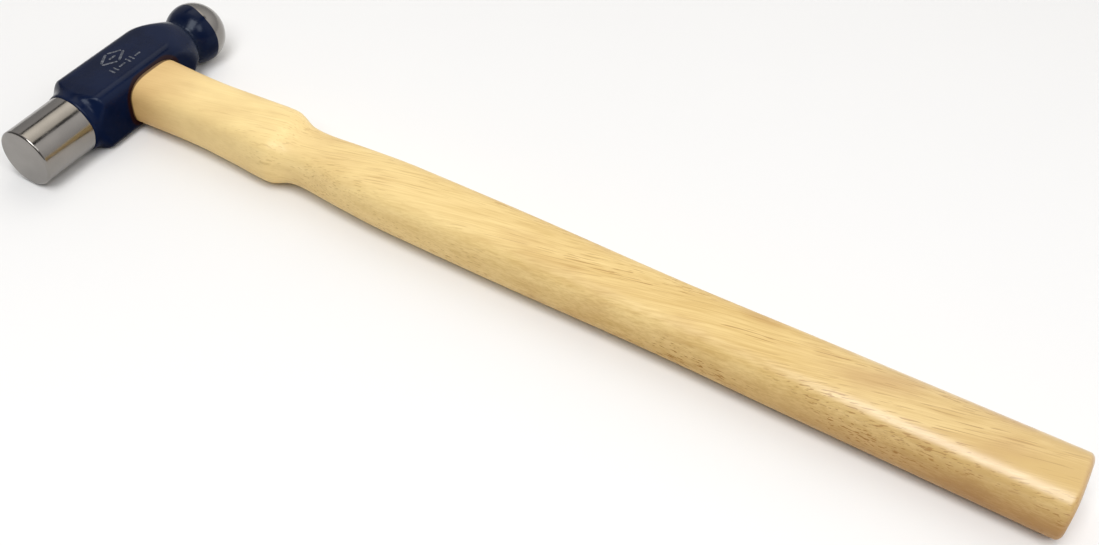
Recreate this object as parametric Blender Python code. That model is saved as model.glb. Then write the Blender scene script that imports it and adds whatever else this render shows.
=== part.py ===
"""Ball-pein hammer of the 200 g class: a forged steel head on a wedged wooden handle.

The hammer lies on one cheek of its head.  +X runs along the handle from the eye to the butt, +Y runs
along the head from the striking face to the ball, and +Z is up.  The origin is at the middle of the
base of the hammer's bounding box.  All sizes are in metres.
"""

import math

import bmesh
import bpy

# The head, along Y from the axis of the eye.
FACE_REACH = 0.0455
BALL_REACH = 0.0395
FACE_DIAMETER = 0.0187
FACE_CHAMFER = 0.0008
POLL_DIAMETER = 0.0190
POLL_FOOT = 0.0263
FILLET_RADIUS = 0.0058
SHOULDER_SLOPE = 48.0
HIP_START = 0.0046
HIP_END = 0.0222
HIP_POWER = 1.34
RIM_RADIUS = 0.0086
NECK_RADIUS = 0.0072
BALL_RADIUS = 0.0100
BALL_CENTRE = 0.0306

# The squared middle of the head: its section across Y.
BLOCK_HALF_X = 0.0101
BLOCK_HALF_Z = 0.0101
BLOCK_CORNER_RADIUS = 0.0038
BLOCK_CORNER_STEPS = 6
TURNED_RADIUS = 0.0144

# A section across X is a rounded oval: (distance from the eye's middle, size along Y, size along Z,
# squareness).  A squareness of 2 is an ellipse, and a higher one is nearer a rectangle.
# The eye runs through the head along X and is waisted.
EYE_STATIONS = (
    (-0.0121, 0.0206, 0.0147, 3.2),
    (-0.0101, 0.0202, 0.0143, 3.2),
    (0.0010, 0.0196, 0.0137, 3.2),
    (0.0101, 0.0214, 0.0170, 3.2),
    (0.0121, 0.0218, 0.0174, 3.2),
)
HANDLE_STATIONS = (
    (0.0101, 0.0208, 0.0164, 3.2),
    (0.0300, 0.0196, 0.0163, 3.3),
    (0.0480, 0.0208, 0.0175, 3.3),
    (0.0592, 0.0219, 0.0183, 3.3),
    (0.0608, 0.0218, 0.0183, 3.3),
    (0.0680, 0.0173, 0.0151, 3.0),
    (0.0715, 0.0167, 0.0147, 3.0),
    (0.0850, 0.0185, 0.0158, 3.0),
    (0.1040, 0.0204, 0.0170, 3.0),
    (0.1380, 0.0207, 0.0173, 3.0),
    (0.1900, 0.0200, 0.0168, 3.0),
    (0.2300, 0.0210, 0.0175, 3.0),
    (0.2700, 0.0217, 0.0182, 3.0),
    (0.3031, 0.0222, 0.0187, 3.0),
)
BUTT_EDGE_RADIUS = 0.0016
TENON_PROUD = 0.0005

# The wedges are driven into the end of the tenon, towards +X.
WOODEN_WEDGE_DEPTH = 0.0160
WOODEN_WEDGE_WIDTH = 0.0184
WOODEN_WEDGE_THICK_END = 0.0032
WOODEN_WEDGE_THIN_END = 0.0006
STEEL_WEDGE_DEPTH = 0.0095
STEEL_WEDGE_WIDTH = 0.0100
STEEL_WEDGE_THICK_END = 0.0020
STEEL_WEDGE_THIN_END = 0.0004
STEEL_WEDGE_SPACING = 0.0094
KERF_OVERRUN = 0.0012

FIT_GAP = 0.0003

# Facets.
TURNED_STEPS = 40
SECTION_POINTS = 32
STATION_STEPS = 3
ARC_STEPS = 8
BALL_STEPS = 12

HANDLE_REACH = HANDLE_STATIONS[-1][0]
TENON_REACH = BLOCK_HALF_X + TENON_PROUD
EYE_PLACE = (
    (TENON_REACH - HANDLE_REACH) / 2,
    (FACE_REACH - BALL_REACH) / 2,
    BLOCK_HALF_Z,
)


def clear_scene():
    """Remove whatever the file holds, so that only the hammer is in it."""
    for thing in list(bpy.data.objects):
        bpy.data.objects.remove(thing, do_unlink=True)


def make_material(name, colour, roughness, metallic):
    material = bpy.data.materials.new(name)
    material.use_nodes = True
    shader = material.node_tree.nodes["Principled BSDF"]
    shader.inputs["Base Color"].default_value = (*colour, 1.0)
    shader.inputs["Roughness"].default_value = roughness
    shader.inputs["Metallic"].default_value = metallic
    return material


def add_object(name, mesh, frame, material=None):
    """Put a mesh in the scene under the eye's frame, smooth where it is round."""
    thing = bpy.data.objects.new(name, mesh)
    bpy.context.scene.collection.objects.link(thing)
    thing.parent = frame
    if material:
        mesh.materials.append(material)
        mesh.shade_smooth()
        mesh.set_sharp_from_angle(angle=math.radians(32))
    return thing


def as_cutter(thing):
    thing.hide_render = True
    thing.display_type = "WIRE"
    return thing


def add_boolean(thing, other, operation):
    modifier = thing.modifiers.new(f"{operation.lower()} {other.name}", "BOOLEAN")
    modifier.operation = operation
    modifier.solver = "EXACT"
    modifier.object = other


def finish_mesh(shape, name):
    bmesh.ops.recalc_face_normals(shape, faces=shape.faces)
    mesh = bpy.data.meshes.new(name)
    shape.to_mesh(mesh)
    shape.free()
    return mesh


def loft(name, sections):
    """Join closed sections of equal length into a solid with a flat cap at each end."""
    shape = bmesh.new()
    rings = [[shape.verts.new(point) for point in section] for section in sections]
    for ring, following in zip(rings, rings[1:]):
        for index, vertex in enumerate(ring):
            after = (index + 1) % len(ring)
            shape.faces.new((vertex, ring[after], following[after], following[index]))
    shape.faces.new(rings[0])
    shape.faces.new(rings[-1])
    return finish_mesh(shape, name)


def oval_section(x, height, width, squareness):
    """A rounded, nearly rectangular outline across X, with its height along Y."""
    power = 2 / squareness
    points = []
    for index in range(SECTION_POINTS):
        turn = 2 * math.pi * (index + 0.5) / SECTION_POINTS
        across, up = math.cos(turn), math.sin(turn)
        y = math.copysign(abs(across) ** power, across) * height / 2
        z = math.copysign(abs(up) ** power, up) * width / 2
        points.append((x, y, z))
    return points


def slopes(places, values):
    """Slopes for a curve that never overshoots its stations."""
    steps = [(b - a) / (q - p) for p, q, a, b in zip(places, places[1:], values, values[1:])]
    inner = [2 * s * t / (s + t) if s * t > 0 else 0.0 for s, t in zip(steps, steps[1:])]
    return [steps[0], *inner, steps[-1]]


def smooth_stations(stations, steps):
    """Fill in a row of stations, which start with their place, with smooth curves."""
    places, *columns = zip(*stations)
    tangents = [slopes(places, column) for column in columns]
    filled = []
    for index, (start, end) in enumerate(zip(places, places[1:])):
        for step in range(steps):
            u = step / steps
            row = [start + (end - start) * u]
            for column, tangent in zip(columns, tangents):
                blend = u * u * (3 - 2 * u)
                value = column[index] + (column[index + 1] - column[index]) * blend
                value += (end - start) * tangent[index] * u * (1 - u) ** 2
                value -= (end - start) * tangent[index + 1] * u * u * (1 - u)
                row.append(value)
            filled.append(tuple(row))
    return [*filled, tuple(stations[-1])]


def turned_profile():
    """The head's outline as (y, radius), from the striking face to the tip of the ball."""
    face_radius = FACE_DIAMETER / 2
    poll_radius = POLL_DIAMETER / 2
    outline = [
        (-FACE_REACH, 0.0),
        (-FACE_REACH, face_radius - FACE_CHAMFER),
        (-FACE_REACH + FACE_CHAMFER, face_radius),
    ]
    slope = math.radians(SHOULDER_SLOPE)
    for step in range(ARC_STEPS + 1):
        turn = slope * step / ARC_STEPS
        y = -POLL_FOOT + FILLET_RADIUS * math.sin(turn)
        outline.append((y, poll_radius + FILLET_RADIUS * (1 - math.cos(turn))))
    y, radius = outline[-1]
    outline.append((y + (TURNED_RADIUS - radius) / math.tan(slope), TURNED_RADIUS))
    for step in range(ARC_STEPS + 1):
        u = step / ARC_STEPS
        y = HIP_START + (HIP_END - HIP_START) * u
        outline.append((y, TURNED_RADIUS - (TURNED_RADIUS - RIM_RADIUS) * u**HIP_POWER))
    ball_start = math.pi - math.asin(NECK_RADIUS / BALL_RADIUS)
    front_length = BALL_REACH - BALL_CENTRE
    for step in range(BALL_STEPS + 1):
        turn = ball_start * (1 - step / BALL_STEPS)
        length = front_length if turn < math.pi / 2 else BALL_RADIUS
        outline.append((BALL_CENTRE + length * math.cos(turn), BALL_RADIUS * math.sin(turn)))
    return outline


def turned_mesh():
    """Turn the head's outline about Y."""
    shape = bmesh.new()
    points = [shape.verts.new((radius, y, 0.0)) for y, radius in turned_profile()]
    edges = [shape.edges.new(pair) for pair in zip(points, points[1:])]
    bmesh.ops.spin(
        shape,
        geom=points + edges,
        axis=(0, 1, 0),
        cent=(0, 0, 0),
        angle=2 * math.pi,
        steps=TURNED_STEPS,
        use_merge=True,
    )
    bmesh.ops.remove_doubles(shape, verts=shape.verts, dist=1e-6)
    return finish_mesh(shape, "turned head")


def bar_mesh():
    """The squared bar with rounded corners that the middle of the head is forged to."""
    length = 2 * (FACE_REACH + FACE_CHAMFER)
    shape = bmesh.new()
    bmesh.ops.create_cube(shape, size=1.0)
    bmesh.ops.scale(shape, vec=(2 * BLOCK_HALF_X, length, 2 * BLOCK_HALF_Z), verts=shape.verts)
    long_edges = [e for e in shape.edges if abs(e.verts[0].co.y - e.verts[1].co.y) > length / 2]
    bmesh.ops.bevel(
        shape,
        geom=long_edges,
        offset=BLOCK_CORNER_RADIUS,
        segments=BLOCK_CORNER_STEPS,
        profile=0.5,
        affect="EDGES",
    )
    return finish_mesh(shape, "squared bar")


def wedge_mesh(name, depth, thick_end, thin_end, width, gap=0.0, overrun=0.0, thin_axis="Z"):
    """A wedge driven towards +X from the tenon's end, grown by a gap where it is a cutter."""
    shape = bmesh.new()
    bmesh.ops.create_cube(shape, size=1.0)
    start = -TENON_REACH - overrun
    end = -TENON_REACH + depth + gap
    taper = (thick_end - thin_end) / depth
    for vertex in shape.verts:
        sign_y = math.copysign(1, vertex.co.y)
        sign_z = math.copysign(1, vertex.co.z)
        x = start if vertex.co.x < 0 else end
        half_thickness = (thick_end - taper * (x + TENON_REACH)) / 2 + gap
        half_width = width / 2 + gap
        if thin_axis == "Z":
            vertex.co = (x, sign_y * half_width, sign_z * half_thickness)
        else:
            vertex.co = (x, sign_y * half_thickness, sign_z * half_width)
    return finish_mesh(shape, name)


def wooden_wedge_mesh():
    return wedge_mesh(
        "wooden wedge",
        WOODEN_WEDGE_DEPTH,
        WOODEN_WEDGE_THICK_END,
        WOODEN_WEDGE_THIN_END,
        WOODEN_WEDGE_WIDTH,
    )


def kerf_mesh():
    """The saw cut for the wooden wedge, open at both sides of the tenon."""
    return wedge_mesh(
        "kerf",
        WOODEN_WEDGE_DEPTH,
        WOODEN_WEDGE_THICK_END,
        WOODEN_WEDGE_THIN_END,
        WOODEN_WEDGE_WIDTH + 2 * KERF_OVERRUN,
        gap=FIT_GAP,
        overrun=KERF_OVERRUN,
    )


def steel_wedge_mesh(gap=0.0, overrun=0.0):
    return wedge_mesh(
        "steel wedge",
        STEEL_WEDGE_DEPTH,
        STEEL_WEDGE_THICK_END,
        STEEL_WEDGE_THIN_END,
        STEEL_WEDGE_WIDTH,
        gap=gap,
        overrun=overrun,
        thin_axis="Y",
    )


def handle_mesh():
    """The handle with its tenon, which fills the eye but for the fit gap."""
    fit = 2 * FIT_GAP
    eye = [(x, height - fit, width - fit, square) for x, height, width, square in EYE_STATIONS]
    inside = [row for row in smooth_stations(eye, STATION_STEPS) if abs(row[0]) < BLOCK_HALF_X]
    tenon = [(-TENON_REACH, *eye[1][1:]), eye[1], *inside]
    shaft = smooth_stations(HANDLE_STATIONS, STATION_STEPS)
    end_x, end_height, end_width, end_squareness = shaft.pop()
    butt = []
    for step in range(ARC_STEPS // 2 + 1):
        turn = math.pi / 2 * step / (ARC_STEPS // 2)
        inset = BUTT_EDGE_RADIUS * (1 - math.cos(turn))
        x = end_x - BUTT_EDGE_RADIUS * (1 - math.sin(turn))
        butt.append((x, end_height - 2 * inset, end_width - 2 * inset, end_squareness))
    return loft("handle", [oval_section(*row) for row in (*tenon, *shaft, *butt)])


def eye_mesh():
    return loft("eye", [oval_section(*row) for row in smooth_stations(EYE_STATIONS, STATION_STEPS)])


def build_head(frame):
    paint = make_material("navy lacquer", (0.010, 0.018, 0.060), 0.28, 0.0)
    bar = as_cutter(add_object("guide_bar", bar_mesh(), frame))
    eye = as_cutter(add_object("guide_eye", eye_mesh(), frame))
    head = add_object("head", turned_mesh(), frame, paint)
    add_boolean(head, bar, "INTERSECT")
    add_boolean(head, eye, "DIFFERENCE")


def build_handle(frame, slots):
    wood = make_material("lacquered pale wood", (0.75, 0.52, 0.26), 0.35, 0.0)
    handle = add_object("handle", handle_mesh(), frame, wood)
    kerf = as_cutter(add_object("guide_kerf", kerf_mesh(), frame))
    for cutter in (kerf, *slots):
        add_boolean(handle, cutter, "DIFFERENCE")


def build_wedges(frame):
    """The wooden wedge along the eye and two steel wedges across it; returns their slots."""
    wood = make_material("wedge wood", (0.55, 0.36, 0.18), 0.60, 0.0)
    steel = make_material("wedge steel", (0.45, 0.45, 0.47), 0.45, 1.0)
    wooden = add_object("wooden_wedge", wooden_wedge_mesh(), frame, wood)
    slots = []
    for name, side in (("steel_wedge_poll_side", -1), ("steel_wedge_ball_side", 1)):
        place = (0.0, side * STEEL_WEDGE_SPACING / 2, 0.0)
        wedge = add_object(name, steel_wedge_mesh(), frame, steel)
        slot_mesh = steel_wedge_mesh(gap=FIT_GAP, overrun=KERF_OVERRUN)
        slot = as_cutter(add_object(f"guide_{name}", slot_mesh, frame))
        wedge.location = place
        slot.location = place
        add_boolean(wooden, slot, "DIFFERENCE")
        slots.append(slot)
    return slots


def main():
    clear_scene()
    frame = bpy.data.objects.new("eye_frame", None)
    bpy.context.scene.collection.objects.link(frame)
    frame.location = EYE_PLACE
    build_head(frame)
    build_handle(frame, build_wedges(frame))


main()
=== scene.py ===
"""The looks of the ball-pein hammer: fine surfaces, materials, a plain studio and the camera.

Shapes are built about the middle of the eye, in metres, and placed there: +X runs along the handle,
+Y along the head from the striking face to the ball, and +Z is up.
"""

import math

import bmesh
import bpy
import numpy as np
from mathutils import Matrix, Vector


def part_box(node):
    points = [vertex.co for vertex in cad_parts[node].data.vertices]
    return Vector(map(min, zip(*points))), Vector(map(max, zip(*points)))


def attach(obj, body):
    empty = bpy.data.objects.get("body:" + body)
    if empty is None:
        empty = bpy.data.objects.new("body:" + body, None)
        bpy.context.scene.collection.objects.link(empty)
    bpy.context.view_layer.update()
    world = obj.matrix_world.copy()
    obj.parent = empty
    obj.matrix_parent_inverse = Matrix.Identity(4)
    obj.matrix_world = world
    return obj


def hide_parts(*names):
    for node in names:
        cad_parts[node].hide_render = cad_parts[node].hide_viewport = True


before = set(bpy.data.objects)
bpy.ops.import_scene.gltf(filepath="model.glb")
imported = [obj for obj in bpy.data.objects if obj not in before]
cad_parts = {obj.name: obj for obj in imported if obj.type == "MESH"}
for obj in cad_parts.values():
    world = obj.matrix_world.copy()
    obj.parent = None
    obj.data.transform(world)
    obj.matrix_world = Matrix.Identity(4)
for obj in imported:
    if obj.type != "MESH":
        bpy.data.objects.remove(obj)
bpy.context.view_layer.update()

HEAD_LOW, HEAD_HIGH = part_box("head")
HANDLE_LOW, HANDLE_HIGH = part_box("handle")
EYE = Vector((
    (HEAD_LOW.x + HEAD_HIGH.x) / 2,
    (HANDLE_LOW.y + HANDLE_HIGH.y) / 2,
    (HEAD_LOW.z + HEAD_HIGH.z) / 2,
))

# The head, along Y from the eye's axis.  The reaches come from the CAD head's box.
FACE_REACH = EYE.y - HEAD_LOW.y
BALL_REACH = HEAD_HIGH.y - EYE.y
MARK_HEIGHT = 0.00003
BLOCK_HALF = HEAD_HIGH.z - EYE.z - MARK_HEIGHT
BLOCK_CORNER_RADIUS = 0.0038
FACE_RADIUS = 0.00935
FACE_EDGE_RADIUS = 0.0007
FACE_CROWN = 0.00006
POLL_RADIUS = 0.0095
POLL_FOOT = 0.0263
FILLET_RADIUS = 0.0058
SHOULDER_SLOPE = math.radians(48)
TURNED_RADIUS = 0.0144
HIP_START = 0.0046
HIP_END = 0.0222
HIP_POWER = 1.34
RIM_RADIUS = 0.0086
NECK_RADIUS = 0.0072
BALL_RADIUS = 0.0100
BALL_CENTRE = 0.0306
CREASE_SOFTNESS = 0.0008
NECK_SOFTNESS = 0.0004

# The lacquer, and the bead that it forms along its edge on the poll.
PAINT_THICKNESS = 0.00004
PAINT_TURN_IN = 8 * PAINT_THICKNESS
BEAD_HEIGHT = 0.00052
BEAD_LENGTH = 0.0012
BEAD_FADE = 0.0036
BEAD_TURN = math.radians(55)
SEAM_GAP = 0.00002

# A section across X is a rounded oval: (distance from the eye's middle, size along Y, size along Z,
# squareness).  A squareness of 2 is an ellipse, and a higher one is nearer a rectangle.
EYE_STATIONS = (
    (-0.0121, 0.0206, 0.0147, 3.2),
    (-0.0101, 0.0202, 0.0143, 3.2),
    (0.0010, 0.0196, 0.0137, 3.2),
    (0.0101, 0.0214, 0.0170, 3.2),
    (0.0121, 0.0218, 0.0174, 3.2),
)
HANDLE_STATIONS = (
    (0.0101, 0.0210, 0.0166, 3.2),
    (0.0300, 0.0196, 0.0163, 3.3),
    (0.0480, 0.0208, 0.0175, 3.3),
    (0.0592, 0.0219, 0.0183, 3.3),
    (0.0608, 0.0218, 0.0183, 3.3),
    (0.0680, 0.0173, 0.0151, 3.0),
    (0.0715, 0.0167, 0.0147, 3.0),
    (0.0850, 0.0185, 0.0158, 3.0),
    (0.1040, 0.0204, 0.0170, 3.0),
    (0.1380, 0.0207, 0.0173, 3.0),
    (0.1900, 0.0200, 0.0168, 3.0),
    (0.2300, 0.0210, 0.0175, 3.0),
    (0.2700, 0.0217, 0.0182, 3.0),
    (0.3031, 0.0222, 0.0187, 3.0),
)
TENON_GAP = 0.00006
BOW = 0.00045
BOW_PLACE = 0.045
BOW_LENGTH = 0.022
SHOULDER_PLACE = 0.062
SHOULDER_LEAD = 0.0014
SHOULDER_LENGTH = 0.010
BUTT_EDGE_RADIUS = 0.0018
BUTT_DOME = 0.0005
TENON_END = HANDLE_LOW.x - EYE.x
BUTT_END = HANDLE_HIGH.x - EYE.x

# The reddish line that the finish left round the handle, on the lacquer and on the wood.
STAIN_WIDTH = 0.0011
STAIN_DEPTH = 0.0106

# The wedges in the tenon's end: the thickness left at each one's inner end, and the gap round it.
WOODEN_WEDGE_TIP = 0.0006
STEEL_WEDGE_TIP = 0.0004
WEDGE_GAP = 0.00005
WEDGE_BEVEL = 0.00012

# A plain stencilled mark on the upper cheek: strokes as (x, y) to (x, y) about the eye, and a width.
MARK_STROKES = (
    ((-0.0047, -0.0040), (-0.0028, -0.0076), 0.00085),
    ((-0.0018, -0.0080), (0.0003, -0.0044), 0.00065),
    ((0.0003, -0.0030), (-0.0018, 0.0008), 0.00080),
    ((-0.0028, 0.0006), (-0.0047, -0.0028), 0.00065),
    ((-0.0022, -0.0046), (-0.0022, -0.0025), 0.00070),
    ((0.0019, -0.0088), (0.0038, -0.0088), 0.00065),
    ((0.0019, -0.0072), (0.0038, -0.0072), 0.00055),
    ((0.0029, -0.0056), (0.0029, -0.0036), 0.00065),
    ((0.0019, -0.0019), (0.0038, -0.0019), 0.00060),
    ((0.0019, -0.0003), (0.0038, -0.0003), 0.00055),
    ((0.0029, 0.0012), (0.0029, 0.0030), 0.00065),
)

# How finely the surfaces are drawn.
BEAD_SHARE = 0.05
BEAD_RINGS = 28
HEAD_RINGS = 180
FACE_MIDDLE = 0.04
FACE_RINGS = 24
POLL_RINGS = 40
CAP_RINGS = 48
HEAD_POINTS = 192
EYE_RINGS = 25
TENON_RINGS = 22
HANDLE_POINTS = 112
HANDLE_SPACING = 0.0012
ROUND_STEPS = 8
MARK_STEPS = 6
SHARP_EDGE = math.radians(40)

# How the wood's fibres lie, and its noises: the scale along and across them, the detail and the roughness.
GRAIN_TURN = (0.0, math.radians(2.0), math.radians(-12.0))
WOOD_NOISES = {
    "layer": ((8, 130, 170), 4, 0.6),
    "band": ((22, 520, 520), 3, 0.6),
    "fibre": ((60, 2200, 2200), 3, 0.6),
    "hair": ((80, 2400, 2400), 1, 0.4),
    "blotch": ((35, 75, 75), 3, 0.5),
    "crowd": ((14, 110, 110), 2, 0.5),
}

# A soft window over and behind the hammer, with a dark frame at each side, that the poll mirrors.
WINDOW_HEIGHT = 1.0
WINDOW_LOW = (-0.80, 0.20)
WINDOW_HIGH = (0.13, 0.78)
WINDOW_FRAME = 0.24
WINDOW_RISE = 0.35
WINDOW_BRIGHT = 1.74
WINDOW_DIM = 1.08

# Two soft lamps: the direction they shine from, their size and how bright they are.
LAMP_DISTANCE = 1.2
LAMPS = {
    "ceiling_lamp": ((0.07, -0.40, 0.92), (0.52, 0.84), 6.9),
    "side_lamp": ((0.56, -0.23, 0.80), (0.36, 0.50), 4.4),
}
FLOOR_RADIUS = 2.5

# The camera looks at the middle of the handle.
VIEW_TARGET = EYE + Vector((0.15423, -0.00061, 0.0))
VIEW_AZIMUTH = math.radians(28.06)
VIEW_ELEVATION = math.radians(45.38)
VIEW_ROLL = math.radians(3.08)
VIEW_DISTANCE = 0.37440
VIEW_LENS = 43.947
VIEW_SHIFT = (-0.00051, -0.00530)


# ---------------------------------------------------------------- shapes


def smooth_min(a, b, softness):
    """The smaller of two lengths, rounded off where they are nearly equal."""
    return np.minimum(a, b) - np.maximum(softness - np.abs(a - b), 0) ** 2 / (4 * softness)


def smooth_max(a, b, softness):
    return -smooth_min(-a, -b, softness)


def turned_radius(y):
    """The radius of the forging about Y where it is round: poll, fillet, hip, neck and ball."""
    taper = np.clip((-POLL_FOOT - y) / (FACE_REACH - POLL_FOOT), 0, 1)
    poll = POLL_RADIUS + (FACE_RADIUS - POLL_RADIUS) * taper
    past_foot = np.maximum(y + POLL_FOOT, 0)
    curved = FILLET_RADIUS * math.sin(SHOULDER_SLOPE)
    turn = np.arcsin(np.minimum(past_foot, curved) / FILLET_RADIUS)
    slope = np.maximum(past_foot - curved, 0) * math.tan(SHOULDER_SLOPE)
    fillet = np.minimum(poll + FILLET_RADIUS * (1 - np.cos(turn)) + slope, TURNED_RADIUS)
    along = np.clip((y - HIP_START) / (HIP_END - HIP_START), 0, 1)
    hip = TURNED_RADIUS - (TURNED_RADIUS - RIM_RADIUS) * along**HIP_POWER
    neck_end = BALL_CENTRE - math.sqrt(BALL_RADIUS**2 - NECK_RADIUS**2)
    neck = RIM_RADIUS - (y - HIP_END) * (RIM_RADIUS - NECK_RADIUS) / (neck_end - HIP_END)
    length = np.where(y > BALL_CENTRE, BALL_REACH - BALL_CENTRE, BALL_RADIUS)
    ball = BALL_RADIUS * np.sqrt(np.clip(1 - ((y - BALL_CENTRE) / length) ** 2, 0, 1))
    forged = smooth_min(np.minimum(fillet, hip), neck, NECK_SOFTNESS)
    return np.where(y > BALL_CENTRE, ball, smooth_max(forged, ball, NECK_SOFTNESS))


def bar_radius(turn):
    """The distance from Y to the rounded square bar, in the direction of an angle about Y."""
    c = np.abs(np.cos(turn))
    s = np.abs(np.sin(turn))
    flat = BLOCK_HALF / np.maximum(c, s)
    core = BLOCK_HALF - BLOCK_CORNER_RADIUS
    middle = (c + s) * core
    corner = middle + np.sqrt(np.maximum(middle**2 - 2 * core**2 + BLOCK_CORNER_RADIUS**2, 0))
    return np.where(flat * np.minimum(c, s) <= core, flat, corner)


def head_radius(y, turn, bead=0.0):
    """The forging's radius: the turned shape, and its bead, inside the squared bar with soft creases."""
    turned = turned_radius(y) + bead
    squared = smooth_min(turned, bar_radius(turn), CREASE_SOFTNESS)
    return np.where(y > HIP_END, turned, squared)


def poll_paint_edge(turn):
    """Where the lacquer ends on the poll, along Y; the edge is slightly uneven."""
    return -POLL_FOOT + 0.0001 + 0.00010 * np.sin(3 * turn + 1.0) + 0.00005 * np.sin(7 * turn)


def ball_paint_edge(turn):
    """Where the lacquer ends on the ball, along Y: near its widest place, with a tongue at the top."""
    tongue = 0.0010 * np.exp(7 * (np.cos(turn - math.radians(108)) - 1))
    return BALL_CENTRE - 0.00045 + tongue + 0.00010 * np.sin(5 * turn)


def lacquer_bead(distance, turn):
    """How thick the lacquer stands at a distance from its edge on the poll: thickest over the handle."""
    rise = np.sqrt(1 - np.clip(1 - distance / BEAD_LENGTH, 0, 1) ** 2)
    fade = np.clip(1 - distance / BEAD_FADE, 0, 1)
    share = 0.55 + 0.45 * np.cos(turn - BEAD_TURN)
    return BEAD_HEIGHT * share * rise * fade * fade * (3 - 2 * fade)


def about_y(y, radius, turn):
    return np.stack([radius * np.cos(turn), y + 0 * turn, radius * np.sin(turn)], axis=-1)


def slopes(places, values):
    """Slopes for a curve that never overshoots its stations."""
    steps = np.diff(values) / np.diff(places)
    product = steps[:-1] * steps[1:]
    total = steps[:-1] + steps[1:]
    inner = np.where(product > 0, 2 * product / np.where(product > 0, total, 1), 0)
    return np.concatenate([steps[:1], inner, steps[-1:]])


def station_values(stations, x):
    """Height, width and squareness on smooth curves through the stations, read at x."""
    places, *columns = np.array(stations).T
    i = int(np.clip(np.searchsorted(places, x, side="right") - 1, 0, len(places) - 2))
    span = places[i + 1] - places[i]
    u = (x - places[i]) / span
    read = []
    for values in columns:
        slope = slopes(places, values)
        value = values[i] + (values[i + 1] - values[i]) * u * u * (3 - 2 * u)
        read.append(value + span * u * (1 - u) * (slope[i] * (1 - u) - slope[i + 1] * u))
    return read


def oval_section(x, height, width, squareness, shift=0.0):
    """A rounded, nearly rectangular outline across X."""
    turn = 2 * np.pi * (np.arange(HANDLE_POINTS) + 0.5) / HANDLE_POINTS
    c = np.cos(turn)
    s = np.sin(turn)
    y = np.sign(c) * np.abs(c) ** (2 / squareness) * height / 2 + shift
    z = np.sign(s) * np.abs(s) ** (2 / squareness) * width / 2
    return np.stack([np.full(HANDLE_POINTS, x), y, z], axis=-1)


def closed_skin(name, rings):
    """A solid from rings of points: quads between the rings and a fan at each end."""
    rings = np.array(rings)
    count, points = rings.shape[:2]
    vertices = rings.reshape(-1, 3).tolist()
    vertices.append(rings[0].mean(axis=0).tolist())
    vertices.append(rings[-1].mean(axis=0).tolist())
    faces = []
    for ring in range(count - 1):
        for i in range(points):
            a = ring * points + i
            b = ring * points + (i + 1) % points
            faces.append((a, b, b + points, a + points))
    last = (count - 1) * points
    for i in range(points):
        after = (i + 1) % points
        faces.append((after, i, count * points))
        faces.append((last + i, last + after, count * points + 1))
    return solid_mesh(name, vertices, faces)


def solid_mesh(name, vertices, faces, bevel=0.0):
    """A closed solid from its corners and faces, with its edges taken off if asked."""
    mesh = bpy.data.meshes.new(name)
    mesh.from_pydata(vertices, [], faces)
    shape = bmesh.new()
    shape.from_mesh(mesh)
    bmesh.ops.recalc_face_normals(shape, faces=shape.faces)
    if bevel:
        bmesh.ops.bevel(shape, geom=shape.edges, offset=bevel, segments=3, affect="EDGES", profile=0.5)
    shape.to_mesh(mesh)
    shape.free()
    return mesh


def place(name, mesh, material):
    """Put a mesh in the scene at the eye, with smooth shading but for its sharp edges."""
    mesh.materials.clear()
    mesh.materials.append(material)
    mesh.shade_smooth()
    mesh.set_sharp_from_angle(angle=SHARP_EDGE)
    piece = bpy.data.objects.new(name, mesh)
    piece.location = EYE
    bpy.context.scene.collection.objects.link(piece)
    return piece


def carve(piece, cutter_mesh):
    """Cut a closed shape out of a piece for good."""
    cutter = bpy.data.objects.new("cutter", cutter_mesh)
    cutter.location = EYE
    bpy.context.scene.collection.objects.link(cutter)
    modifier = piece.modifiers.new("cut", "BOOLEAN")
    modifier.operation = "DIFFERENCE"
    modifier.solver = "EXACT"
    modifier.object = cutter
    graph = bpy.context.evaluated_depsgraph_get()
    carved = bpy.data.meshes.new_from_object(piece.evaluated_get(graph))
    piece.modifiers.remove(modifier)
    carved.set_sharp_from_angle(angle=SHARP_EDGE)
    piece.data = carved
    bpy.data.objects.remove(cutter, do_unlink=True)


def finish_piece(piece, node):
    """Ride on the hammer's one body and hide the CAD node that the piece stands for."""
    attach(piece, "root")
    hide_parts(node)


# ---------------------------------------------------------------- materials


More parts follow.
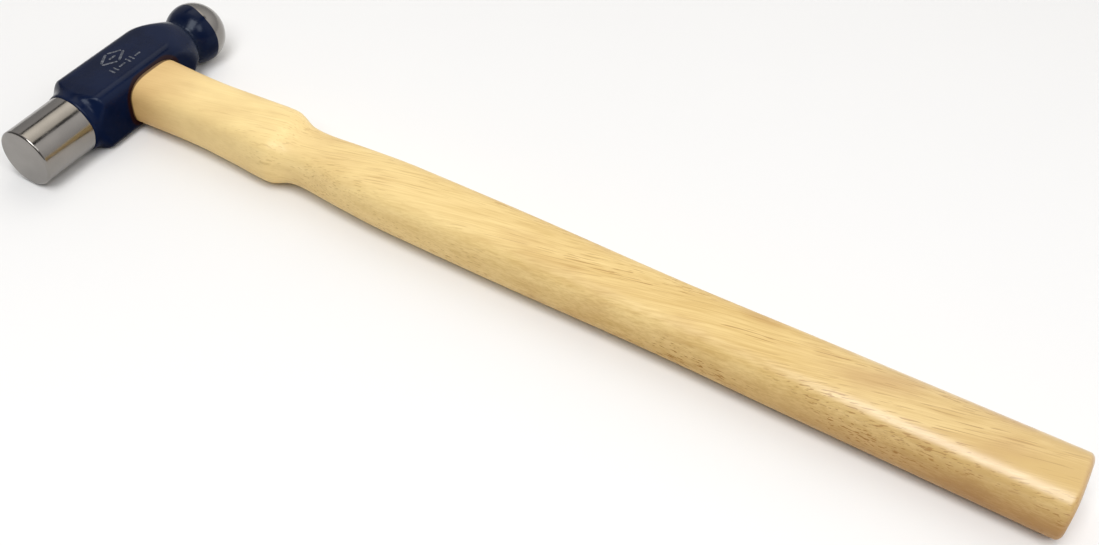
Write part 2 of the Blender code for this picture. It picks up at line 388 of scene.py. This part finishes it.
class Nodes:
    """Adds shader nodes to a tree and wires them by socket name or number."""

    def __init__(self, tree):
        self.tree = tree

    def add(self, kind, inputs=(), **properties):
        node = self.tree.nodes.new("ShaderNode" + kind)
        for name, value in properties.items():
            setattr(node, name, value)
        for socket, value in dict(inputs).items():
            self.feed(node.inputs[socket], value)
        return node

    def feed(self, socket, value):
        if isinstance(value, bpy.types.NodeSocket):
            self.tree.links.new(value, socket)
        else:
            socket.default_value = value

    def coordinates(self, turn=(0, 0, 0)):
        """The piece's own coordinates, turned."""
        own = self.add("TexCoord").outputs["Object"]
        return self.add("Mapping", {0: own, "Rotation": turn}).outputs[0]

    def scaled(self, vector, scale):
        return self.add("Mapping", {0: vector, "Scale": scale}).outputs[0]

    def split(self, vector):
        return self.add("SeparateXYZ", {0: vector}).outputs

    def facing_up(self):
        """The surface's direction along Z: 1 where it faces up and 0 on upright sides."""
        return self.split(self.add("NewGeometry").outputs["Normal"])[2]

    def lift(self, value, amount):
        """A sideways push, along Y, that follows a value around one half."""
        push = self.times(self.minus(value, 0.5), amount)
        return self.add("CombineXYZ", {1: push}).outputs[0]

    def noise(self, vector, scale, detail, roughness=0.5):
        inputs = {"Vector": vector, "Scale": scale, "Detail": detail, "Roughness": roughness}
        return self.add("TexNoise", inputs).outputs[0]

    def stretched(self, vector, scale, detail, roughness=0.5):
        """Noise with its own scale along each axis."""
        return self.noise(self.scaled(vector, scale), 1.0, detail, roughness)

    def ramp(self, value, low, high, bottom=0.0, top=1.0):
        """Maps low..high of a value smoothly to bottom..top."""
        inputs = {0: value, 1: low, 2: high, 3: bottom, 4: top}
        return self.add("MapRange", inputs, interpolation_type="SMOOTHSTEP").outputs[0]

    def math(self, operation, a, b=0.0):
        return self.add("Math", {0: a, 1: b}, operation=operation).outputs[0]

    def plus(self, a, b):
        return self.math("ADD", a, b)

    def minus(self, a, b):
        return self.math("SUBTRACT", a, b)

    def times(self, a, b):
        return self.math("MULTIPLY", a, b)

    def power(self, value, exponent):
        return self.math("POWER", self.math("ABSOLUTE", value), exponent)

    def mix(self, factor, a, b, blend="MIX"):
        """Mixes two colours; the node's colour sockets are its inputs 6 and 7 and its output 2."""
        return self.add("Mix", {0: factor, 6: a, 7: b}, data_type="RGBA", blend_type=blend).outputs[2]

    def bump(self, height, distance, strength=1.0, normal=None):
        inputs = {"Height": height, "Distance": distance, "Strength": strength}
        if normal is not None:
            inputs["Normal"] = normal
        return self.add("Bump", inputs).outputs[0]


def new_material(name, **settings):
    """A Principled material with some plain settings; returns it, its nodes and its shader."""
    material = bpy.data.materials.new(name)
    material.use_nodes = True
    shader = material.node_tree.nodes["Principled BSDF"]
    for socket, value in settings.items():
        shader.inputs[socket.replace("_", " ")].default_value = value
    return material, Nodes(material.node_tree), shader


def rgb(red, green, blue):
    return (red, green, blue, 1.0)


def lacquer_material():
    """Navy lacquer over forged steel: painted shade on its sides, a painted reflection with some wear round
    the neck, stained round the handle.
    """
    material, nodes, shader = new_material("navy_lacquer", IOR=1.21, Specular_Tint=rgb(0.80, 0.89, 1.0))
    spot = nodes.coordinates()
    cloud = nodes.noise(spot, 90, 4)
    speck = nodes.noise(spot, 900, 3)
    x, y, z = nodes.split(spot)
    # A lighter, greyer band round the neck's rim: a painted reflection in the neck's hollow, with some worn
    # lacquer.
    rim = nodes.math("ABSOLUTE", nodes.minus(y, HIP_END))
    thin = nodes.ramp(nodes.plus(rim, nodes.times(cloud, 0.003)), 0.0050, 0.0012)
    deep = nodes.mix(nodes.ramp(cloud, 0.35, 0.65), rgb(0.0012, 0.0045, 0.022), rgb(0.0028, 0.0080, 0.033))
    worn = nodes.mix(nodes.ramp(speck, 0.3, 0.7), rgb(0.014, 0.021, 0.040), rgb(0.027, 0.035, 0.056))
    colour = nodes.mix(nodes.times(thin, 0.65), deep, worn)
    mouth, height, width, squareness = EYE_STATIONS[3]
    across = nodes.power(nodes.times(y, 2 / height), squareness)
    upward = nodes.power(nodes.times(z, 2 / width), squareness)
    spread = nodes.power(nodes.plus(across, upward), 1 / squareness)
    reach = nodes.minus(1 + 2 * STAIN_WIDTH / width, nodes.times(cloud, 0.03))
    near = nodes.ramp(nodes.minus(spread, reach), 0.035, -0.035)
    outside = nodes.ramp(x, mouth - 0.0015, mouth - 0.0010)
    stain = nodes.times(near, outside)
    colour = nodes.mix(nodes.times(stain, 0.9), colour, rgb(0.020, 0.0055, 0.0040))
    nodes.feed(shader.inputs["Base Color"], colour)
    # Painted shade: the reflection is turned down where the lacquer faces sideways or down, and a little
    # over the poll's fillet.
    beside = nodes.ramp(y, 0.018, 0.026, 0.05, 0.24)
    above = nodes.ramp(y, -0.024, -0.015, 0.66, 0.86)
    nodes.feed(shader.inputs["Specular IOR Level"], nodes.ramp(nodes.facing_up(), -0.1, 0.5, beside, above))
    nodes.feed(shader.inputs["Roughness"], nodes.ramp(cloud, 0.3, 0.7, 0.18, 0.25))
    peel = nodes.noise(spot, 420, 2)
    forged = nodes.bump(cloud, 0.0006, 0.2)
    nodes.feed(shader.inputs["Normal"], nodes.bump(peel, 0.00008, 0.4, forged))
    return material


def steel_material(name):
    """Bright ground steel with fine turning marks that run round the head's axis."""
    material, nodes, shader = new_material(name, Metallic=1.0)
    spot = nodes.coordinates()
    fine = nodes.stretched(spot, (60, 4000, 60), 3, 0.6)
    broad = nodes.stretched(spot, (30, 500, 30), 2)
    cloud = nodes.noise(spot, 140, 3)
    tint = nodes.mix(nodes.ramp(cloud, 0.35, 0.7), rgb(0.268, 0.254, 0.238), rgb(0.294, 0.278, 0.260))
    nodes.feed(shader.inputs["Base Color"], tint)
    rough = nodes.plus(nodes.ramp(fine, 0.3, 0.7, 0.13, 0.18), nodes.ramp(cloud, 0.4, 0.7, 0, 0.05))
    nodes.feed(shader.inputs["Roughness"], rough)
    turned = nodes.bump(broad, 0.00003, 0.08)
    nodes.feed(shader.inputs["Normal"], nodes.bump(fine, 0.00001, 0.08, turned))
    return material


def wood_noises(nodes):
    """Coordinates along fibres that lie a little askew and wander, and the wood's noises in them."""
    grain = nodes.coordinates(GRAIN_TURN)
    push = nodes.lift(nodes.stretched(grain, (18, 25, 25), 1), 0.004)
    grain = nodes.add("VectorMath", {0: grain, 1: push}, operation="ADD").outputs[0]
    return grain, {name: nodes.stretched(grain, *settings) for name, settings in WOOD_NOISES.items()}


def wood_tone(nodes, x, z, noises, pale, tan, deep):
    """The wood between its pores: streaky and darker toward the butt, with painted shade low down and by
    the joint.
    """
    toward_butt = nodes.ramp(nodes.plus(x, nodes.times(noises["layer"], 0.10)), 0.10, 0.28, 0.0, 0.48)
    toward_butt = nodes.plus(toward_butt, nodes.ramp(x, 0.24, 0.31, 0.0, 0.26))
    streaks = nodes.ramp(noises["layer"], 0.35, 0.70, 0.0, 0.24)
    streaks = nodes.plus(streaks, nodes.ramp(noises["fibre"], 0.35, 0.70, 0.0, 0.32))
    streaks = nodes.plus(streaks, nodes.ramp(noises["band"], 0.40, 0.68, 0.0, 0.16))
    streaks = nodes.times(streaks, nodes.ramp(x, 0.02, 0.16, 0.32, 1.0))
    tone = nodes.mix(nodes.plus(toward_butt, streaks), pale, tan)
    blotches = nodes.times(nodes.ramp(noises["blotch"], 0.48, 0.74), nodes.ramp(x, 0.04, 0.24, 0.24, 0.42))
    tone = nodes.mix(blotches, tone, deep)
    # Painted shade: the wood is darkened low down, more toward the butt, and close to the head.
    low = nodes.times(nodes.ramp(z, 0.009, -0.003), nodes.ramp(x, 0.16, 0.31, 0.24, 1.0))
    low = nodes.plus(low, nodes.ramp(x, 0.036, 0.011, 0.0, 0.62))
    return nodes.mix(low, tone, rgb(0.63, 0.49, 0.40), "MULTIPLY")


def wood_pores(nodes, x, z, grain, noises):
    """How strongly the long pores and the short ones show: both come in crowds."""
    crowd = nodes.times(noises["crowd"], nodes.ramp(x, 0.015, 0.080, 0.72, 0.94))
    marked = nodes.times(nodes.ramp(x, 0.06, 0.20, 0.36, 1.0), nodes.ramp(z, 0.000, 0.007, 1.0, 0.72))
    crowded = nodes.ramp(crowd, 0.42, 0.56, 0.10, 1.0)
    long_pores = nodes.times(nodes.ramp(noises["hair"], 0.61, 0.665), crowded)
    cells = nodes.scaled(grain, (140, 2900, 2900))
    distance = nodes.add("TexVoronoi", {"Vector": cells, "Scale": 1.0}).outputs["Distance"]
    reach = nodes.ramp(crowd, 0.55, 0.70, 0.0, 0.29)
    short_pores = nodes.ramp(nodes.minus(distance, reach), 0.06, -0.08)
    return nodes.times(long_pores, marked), nodes.times(short_pores, marked)


def wood_material(name, pale, tan, deep, pore_colour, stained):
    """Varnished hardwood, glossier toward the butt.

    stained is how far from the eye's middle the wood is darkened by the finish at the joint.
    """
    material, nodes, shader = new_material(name, Coat_Roughness=0.34, Coat_IOR=1.65)
    x, _, z = nodes.split(nodes.coordinates())
    grain, noises = wood_noises(nodes)
    long_pores, short_pores = wood_pores(nodes, x, z, grain, noises)
    colour = wood_tone(nodes, x, z, noises, pale, tan, deep)
    colour = nodes.mix(nodes.times(long_pores, 0.90), colour, pore_colour)
    colour = nodes.mix(nodes.times(short_pores, 0.85), colour, pore_colour)
    colour = nodes.mix(nodes.ramp(x, BUTT_END - 0.0024, BUTT_END - 0.0006, 0.0, 0.62), colour, deep)
    stain = nodes.ramp(x, stained, stained - 0.0004, 0.0, 0.85)
    colour = nodes.mix(stain, colour, rgb(0.060, 0.022, 0.008))
    nodes.feed(shader.inputs["Base Color"], colour)
    nodes.feed(shader.inputs["Roughness"], nodes.ramp(noises["fibre"], 0.3, 0.7, 0.42, 0.54))
    # Painted shade: the varnish and the wood's own reflection are turned down on sides that face away from
    # up.
    facing = nodes.facing_up()
    varnish_and_side_shade = nodes.times(nodes.ramp(x, 0.215, 0.258), nodes.ramp(facing, 0.1, 0.6, 0.2, 1.0))
    nodes.feed(shader.inputs["Coat Weight"], varnish_and_side_shade)
    nodes.feed(shader.inputs["Specular IOR Level"], nodes.ramp(facing, 0.0, 0.6, 0.2, 0.5))
    pitted = nodes.minus(nodes.times(noises["fibre"], 0.35), short_pores)
    sanded = nodes.bump(nodes.plus(noises["blotch"], noises["band"]), 0.0003, 0.35)
    nodes.feed(shader.inputs["Normal"], nodes.bump(pitted, 0.00003, 0.3, sanded))
    nodes.feed(shader.inputs["Coat Normal"], nodes.bump(noises["blotch"], 0.0004, 0.3))
    return material


def plain_material(name, dark, light, roughness, metallic, grain):
    """A small part's material: two close tones in a fine cloud, with a matching roughness."""
    material, nodes, shader = new_material(name, Metallic=metallic)
    cloud = nodes.noise(nodes.coordinates(), grain, 4)
    nodes.feed(shader.inputs["Base Color"], nodes.mix(nodes.ramp(cloud, 0.3, 0.7), dark, light))
    nodes.feed(shader.inputs["Roughness"], nodes.ramp(cloud, 0.3, 0.7, roughness - 0.08, roughness + 0.08))
    nodes.feed(shader.inputs["Normal"], nodes.bump(cloud, 0.00004, 0.3))
    return material


# ---------------------------------------------------------------- pieces


def head_turns():
    return 2 * np.pi * np.arange(HEAD_POINTS) / HEAD_POINTS


def painted_body(material):
    """The lacquered part of the forging, from its edge on the poll to its edge on the ball."""
    turn = head_turns()
    start = poll_paint_edge(turn)
    end = ball_paint_edge(turn)
    rings = [about_y(start, head_radius(start, turn) - PAINT_TURN_IN, turn)]
    bead = BEAD_SHARE * np.linspace(0, 1, BEAD_RINGS) ** 2
    for share in np.concatenate([bead, np.linspace(BEAD_SHARE, 1, HEAD_RINGS)[1:]]):
        y = start + (end - start) * share
        rings.append(about_y(y, head_radius(y, turn, lacquer_bead(y - start, turn)), turn))
    rings.append(about_y(end, head_radius(end, turn) - PAINT_TURN_IN, turn))
    body = place("head_lacquered", closed_skin("head_lacquered", rings), material)
    reach = EYE_STATIONS[-1][0]
    eye = [oval_section(x, *station_values(EYE_STATIONS, x)) for x in np.linspace(-reach, reach, EYE_RINGS)]
    carve(body, closed_skin("eye", eye))
    finish_piece(body, "head")


def bright_poll(material):
    """The ground poll: a slightly crowned face, a rounded edge and the plain cylinder."""
    turn = head_turns()
    inner = FACE_RADIUS - FACE_EDGE_RADIUS
    rings = []
    for radius in np.linspace(inner * FACE_MIDDLE, inner, FACE_RINGS):
        y = -FACE_REACH + FACE_CROWN * (radius / inner) ** 2
        rings.append(about_y(y, radius, turn))
    for step in range(1, ROUND_STEPS + 1):
        angle = math.pi / 2 * step / ROUND_STEPS
        y = -FACE_REACH + FACE_CROWN + FACE_EDGE_RADIUS * (1 - math.cos(angle))
        rings.append(about_y(y, inner + FACE_EDGE_RADIUS * math.sin(angle), turn))
    start = -FACE_REACH + FACE_CROWN + FACE_EDGE_RADIUS
    end = poll_paint_edge(turn) - SEAM_GAP
    for share in np.linspace(0, 1, POLL_RINGS)[1:]:
        y = start + (end - start) * share
        rings.append(about_y(y, turned_radius(y) - PAINT_THICKNESS, turn))
    poll = place("poll_bright", closed_skin("poll_bright", rings), material)
    finish_piece(poll, "head")


def bright_ball_cap(material):
    """The ground front of the ball."""
    turn = head_turns()
    start = ball_paint_edge(turn) + SEAM_GAP
    rings = []
    for share in np.sin(np.linspace(0, math.pi / 2, CAP_RINGS))[:-1]:
        y = start + (BALL_REACH - start) * share
        rings.append(about_y(y, turned_radius(y) - PAINT_THICKNESS, turn))
    cap = place("ball_cap_bright", closed_skin("ball_cap_bright", rings), material)
    finish_piece(cap, "head")


def handle_rings():
    """Sections of the handle from the wedged end of the tenon to the butt."""
    rings = []
    start = HANDLE_STATIONS[0][0]
    for x in np.linspace(TENON_END, start, TENON_RINGS)[:-1]:
        height, width, squareness = station_values(EYE_STATIONS, max(x, EYE_STATIONS[1][0]))
        rings.append(oval_section(x, height - 2 * TENON_GAP, width - 2 * TENON_GAP, squareness))
    shaft_end = BUTT_END - BUTT_DOME - BUTT_EDGE_RADIUS
    for x in np.linspace(start, shaft_end, round((shaft_end - start) / HANDLE_SPACING)):
        bow = BOW * math.exp(-(((x - BOW_PLACE) / BOW_LENGTH) ** 2))
        lead = SHOULDER_LEAD * math.exp(-(((x - SHOULDER_PLACE) / SHOULDER_LENGTH) ** 2))
        near, width, squareness = station_values(HANDLE_STATIONS, x)
        far = station_values(HANDLE_STATIONS, x + lead)[0]
        rings.append(oval_section(x, (near + far) / 2, width, squareness, bow + (far - near) / 4))
    height, width, squareness = HANDLE_STATIONS[-1][1:]
    for step in range(1, ROUND_STEPS + 1):
        angle = math.pi / 2 * step / ROUND_STEPS
        inset = BUTT_EDGE_RADIUS * (1 - math.cos(angle))
        x = shaft_end + BUTT_EDGE_RADIUS * math.sin(angle)
        rings.append(oval_section(x, height - 2 * inset, width - 2 * inset, squareness))
    rim = rings[-1]
    for share in (0.85, 0.7, 0.5, 0.3, 0.1):
        ring = rim * (1, share, share)
        ring[:, 0] = BUTT_END - BUTT_DOME * share**2
        rings.append(ring)
    return rings


def wedge_mesh(name, node, thin, tip, grow=0.0):
    """A wedge inside a CAD node's box: thick at its outer end and a thin tip at its inner end.

    thin is the axis it is thin along (1 for Y, 2 for Z).  grow makes it larger all round, and longer at
    its outer end, to cut its slot.
    """
    low, high = (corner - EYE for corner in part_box(node))
    wide = 3 - thin
    middle = (low[thin] + high[thin]) / 2
    vertices = []
    for x, half in ((low.x - 8 * grow, (high[thin] - low[thin]) / 2), (high.x + grow, tip / 2)):
        for side, end in ((-1, -1), (1, -1), (1, 1), (-1, 1)):
            corner = Vector((x, 0, 0))
            corner[thin] = middle + side * (half + grow)
            corner[wide] = high[wide] + grow if end > 0 else low[wide] - grow
            vertices.append(corner)
    faces = [(0, 1, 2, 3), (4, 5, 6, 7)] + [(i, (i + 1) % 4, (i + 1) % 4 + 4, i + 4) for i in range(4)]
    return solid_mesh(name, vertices, faces, 0.0 if grow else WEDGE_BEVEL)


def wedged_handle(wood, wedge_wood, wedge_steel):
    """The handle, the wooden wedge in its kerf and the two steel wedges driven across them."""
    handle = place("handle_wood", closed_skin("handle_wood", handle_rings()), wood)
    wedge_shape = wedge_mesh("wooden_wedge", "wooden_wedge", 2, WOODEN_WEDGE_TIP)
    wedge = place("wooden_wedge_fitted", wedge_shape, wedge_wood)
    carve(handle, wedge_mesh("kerf", "wooden_wedge", 2, WOODEN_WEDGE_TIP, WEDGE_GAP))
    for node in ("steel_wedge_poll_side", "steel_wedge_ball_side"):
        for piece in (handle, wedge):
            carve(piece, wedge_mesh("slit", node, 1, STEEL_WEDGE_TIP, WEDGE_GAP))
        steel_wedge = place(node + "_fitted", wedge_mesh(node, node, 1, STEEL_WEDGE_TIP), wedge_steel)
        finish_piece(steel_wedge, node)
    finish_piece(handle, "handle")
    finish_piece(wedge, "wooden_wedge")


def cheek_mark(material):
    """The worn stencilled mark: thin rounded strokes on the upper cheek."""
    vertices = []
    faces = []
    for start, end, width in MARK_STROKES:
        heading = math.atan2(end[1] - start[1], end[0] - start[0])
        outline = []
        for centre, turned in ((end, heading - math.pi / 2), (start, heading + math.pi / 2)):
            for step in range(MARK_STEPS + 1):
                angle = turned + math.pi * step / MARK_STEPS
                across = Vector((math.cos(angle), math.sin(angle))) * width / 2
                outline.append(Vector(centre) + across)
        first = len(vertices)
        count = len(outline)
        for z in (BLOCK_HALF - MARK_HEIGHT, BLOCK_HALF + MARK_HEIGHT):
            vertices += [(x, y, z) for x, y in outline]
        faces.append(tuple(range(first, first + count)))
        faces.append(tuple(range(first + count, first + 2 * count)))
        for i in range(count):
            a = first + i
            b = first + (i + 1) % count
            faces.append((a, b, b + count, a + count))
    mark = place("cheek_mark", solid_mesh("cheek_mark", vertices, faces), material)
    finish_piece(mark, "head")


# ---------------------------------------------------------------- studio


def aim(thing, target, roll=0.0):
    """Turn a light or camera to look at a point."""
    direction = (Vector(target) - thing.location).normalized()
    turned = direction.to_track_quat("-Z", "Y").to_matrix() @ Matrix.Rotation(roll, 3, "Z")
    thing.rotation_euler = turned.to_euler()


def soft_light(name, direction, size, radiance):
    """An area light that shines on the hammer from a direction, with a given brightness."""
    lamp = bpy.data.lights.new(name, "AREA")
    lamp.shape = "RECTANGLE"
    lamp.size, lamp.size_y = size
    lamp.energy = radiance * math.pi * size[0] * size[1]
    light = bpy.data.objects.new(name, lamp)
    bpy.context.scene.collection.objects.link(light)
    light.location = Vector(direction).normalized() * LAMP_DISTANCE
    aim(light, (0, 0, 0))


def card(name, low, high, height, material):
    """A flat card over the hammer, square to the floor's sides: (x, y) of two opposite corners."""
    corners = [(low[0], low[1]), (high[0], low[1]), (high[0], high[1]), (low[0], high[1])]
    mesh = bpy.data.meshes.new(name)
    mesh.from_pydata([(x, y, height) for x, y in corners], [], [(0, 3, 2, 1)])
    mesh.materials.append(material)
    piece = bpy.data.objects.new(name, mesh)
    bpy.context.scene.collection.objects.link(piece)


def window_material():
    """A glowing panel that dims along X, and a little at its far left."""
    material = bpy.data.materials.new("rear_window")
    material.use_nodes = True
    tree = material.node_tree
    nodes = Nodes(tree)
    tree.nodes.remove(tree.nodes["Principled BSDF"])
    along = nodes.split(nodes.coordinates())[0]
    brightest = WINDOW_LOW[0] + WINDOW_RISE
    rise = nodes.ramp(along, WINDOW_LOW[0], brightest, 0.75, 1.0)
    fall = nodes.ramp(along, brightest, WINDOW_HIGH[0], WINDOW_BRIGHT, WINDOW_DIM)
    glow = nodes.add("Emission", {"Color": rgb(1.0, 0.95, 0.86), "Strength": nodes.times(rise, fall)})
    tree.links.new(glow.outputs[0], tree.nodes["Material Output"].inputs["Surface"])
    return material


def soft_world():
    """Surroundings that are dim in front, and behind grow brighter upward and toward the butt."""
    world = bpy.data.worlds.new("studio")
    world.use_nodes = True
    nodes = Nodes(world.node_tree)
    x, y, z = nodes.split(nodes.add("TexCoord").outputs["Generated"])
    behind = nodes.times(nodes.ramp(y, -0.35, 0.35), nodes.ramp(z, 0.0, 0.75, 0.34, 0.60))
    behind = nodes.times(behind, nodes.ramp(x, -0.7, 0.4, 0.82, 1.42))
    background = world.node_tree.nodes["Background"]
    background.inputs["Color"].default_value = rgb(1.0, 0.985, 0.98)
    nodes.feed(background.inputs["Strength"], nodes.plus(behind, 0.14))
    bpy.context.scene.world = world


def window():
    """The window and its dark frame pieces."""
    card("rear_window", WINDOW_LOW, WINDOW_HIGH, WINDOW_HEIGHT, window_material())
    black, nodes, shader = new_material("window_frame", Roughness=0.9)
    nodes.feed(shader.inputs["Base Color"], rgb(0.02, 0.02, 0.02))
    left = (WINDOW_LOW[0] - WINDOW_FRAME, WINDOW_LOW[1])
    right = (WINDOW_HIGH[0] + WINDOW_FRAME, WINDOW_HIGH[1])
    card("window_frame_left", left, (WINDOW_LOW[0], WINDOW_HIGH[1]), WINDOW_HEIGHT, black)
    card("window_frame_right", (WINDOW_HIGH[0], WINDOW_LOW[1]), right, WINDOW_HEIGHT, black)


def pale_floor():
    material, nodes, shader = new_material("pale_floor", Roughness=0.9, Specular_IOR_Level=0.1)
    cloud = nodes.noise(nodes.coordinates(), 6, 3)
    nodes.feed(shader.inputs["Base Color"], nodes.mix(cloud, rgb(0.84, 0.84, 0.84), rgb(0.87, 0.87, 0.87)))
    shape = bmesh.new()
    bmesh.ops.create_circle(shape, cap_ends=True, segments=96, radius=FLOOR_RADIUS)
    mesh = bpy.data.meshes.new("floor")
    shape.to_mesh(mesh)
    shape.free()
    mesh.materials.append(material)
    floor = bpy.data.objects.new("floor", mesh)
    bpy.context.scene.collection.objects.link(floor)


def studio():
    bpy.context.scene.view_settings.view_transform = "Standard"
    soft_world()
    for name, (direction, size, radiance) in LAMPS.items():
        soft_light(name, direction, size, radiance)
    window()
    pale_floor()


def add_camera():
    data = bpy.data.cameras.new("camera")
    data.sensor_width = 36
    data.lens = VIEW_LENS
    data.shift_x, data.shift_y = VIEW_SHIFT
    data.clip_start = 0.01
    camera = bpy.data.objects.new("camera", data)
    bpy.context.scene.collection.objects.link(camera)
    back = Vector((
        math.sin(VIEW_AZIMUTH) * math.cos(VIEW_ELEVATION),
        -math.cos(VIEW_AZIMUTH) * math.cos(VIEW_ELEVATION),
        math.sin(VIEW_ELEVATION),
    ))
    camera.location = VIEW_TARGET + back * VIEW_DISTANCE
    aim(camera, VIEW_TARGET, VIEW_ROLL)
    bpy.context.scene.camera = camera


add_camera()
studio()
steel = steel_material("bright_ground_steel")
painted_body(lacquer_material())
bright_poll(steel)
bright_ball_cap(steel)
cheek_mark(
    plain_material("worn_pale_print", rgb(0.010, 0.016, 0.034), rgb(0.145, 0.155, 0.180), 0.5, 0.0, 1100)
)
wedged_handle(
    wood_material(
        "varnished_wood",
        pale=rgb(0.96, 0.745, 0.350),
        tan=rgb(0.65, 0.436, 0.150),
        deep=rgb(0.47, 0.250, 0.080),
        pore_colour=rgb(0.35, 0.155, 0.020),
        stained=STAIN_DEPTH,
    ),
    wood_material(
        "wedge_wood",
        pale=rgb(0.52, 0.33, 0.14),
        tan=rgb(0.42, 0.25, 0.10),
        deep=rgb(0.33, 0.18, 0.065),
        pore_colour=rgb(0.14, 0.07, 0.025),
        stained=-0.02,
    ),
    plain_material("wedge_steel", rgb(0.26, 0.25, 0.24), rgb(0.38, 0.37, 0.36), 0.38, 1.0, 900),
)
